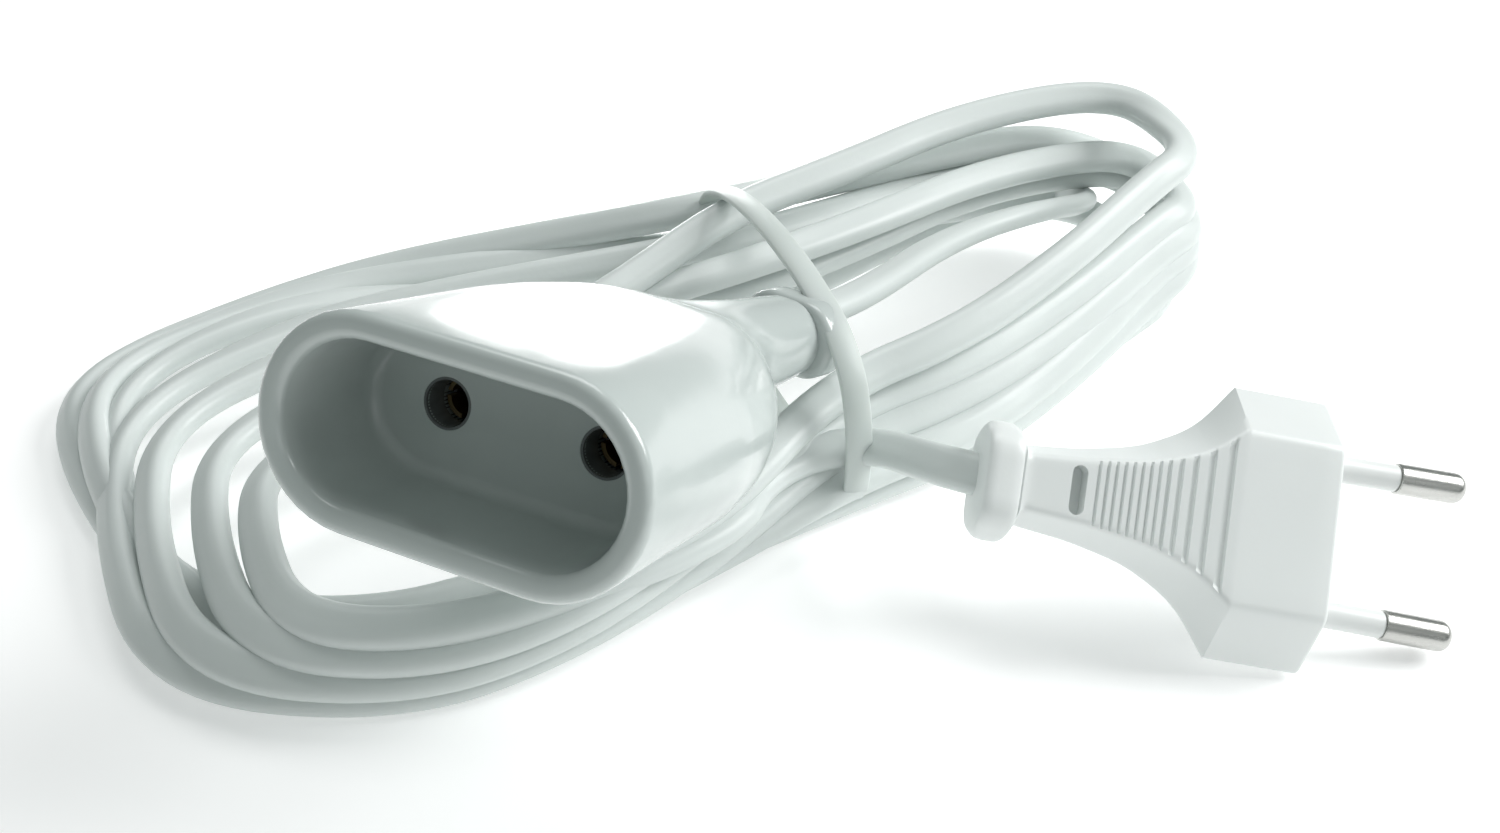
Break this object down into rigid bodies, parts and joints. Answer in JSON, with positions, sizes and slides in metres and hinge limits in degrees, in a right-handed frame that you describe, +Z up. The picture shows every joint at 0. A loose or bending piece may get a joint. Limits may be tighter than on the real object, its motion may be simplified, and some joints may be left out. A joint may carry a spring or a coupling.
{
  "type": "extension cord",
  "caption": "White household extension cord: flat twin cable wound into a tied hank, with a flat two-pole plug and a hooded two-pole socket.",
  "frame": {"origin": "middle of the box round the socket, plug and tie, at the level of the surface it lies on", "axes": "+Z up; +X from the socket's side towards the plug's pins; +Y away from the socket's mouth, towards the back of the hank"},
  "size_m": [0.1968, 0.1488, 0.0619],
  "materials": {
    "socket_mould": "gloss",
    "plug_mould": "satin",
    "carrier": "matt",
    "cord_jacket": "satin",
    "tie": "satin, slightly see-through",
    "pin_metal": "nickel plate",
    "pin_sleeve": "matt",
    "contact_brass": "satin",
    "spring_steel": "satin",
    "brown_core": "matt",
    "blue_core": "matt",
    "copper": "bare copper"
  },
  "bodies": {
    "root": {"socket_shell": "socket_mould", "contact_carrier": "carrier", "socket_contact_left": "contact_brass", "socket_contact_right": "contact_brass", "contact_spring_left": "spring_steel", "contact_spring_right": "spring_steel", "socket_brown_core": "brown_core", "socket_blue_core": "blue_core", "socket_brown_strands": "copper", "socket_blue_strands": "copper", "cord_socket_lead": "cord_jacket", "cord_hank": "cord_jacket", "cord_plug_lead": "cord_jacket", "tie_band": "tie", "plug_body": "plug_mould", "pin_bridge": "carrier", "plug_pin_left": "pin_metal", "plug_pin_right": "pin_metal", "pin_sleeve_left": "pin_sleeve", "pin_sleeve_right": "pin_sleeve", "plug_brown_core": "brown_core", "plug_blue_core": "blue_core", "plug_brown_strands": "copper", "plug_blue_strands": "copper"}
  },
  "joints": []
}
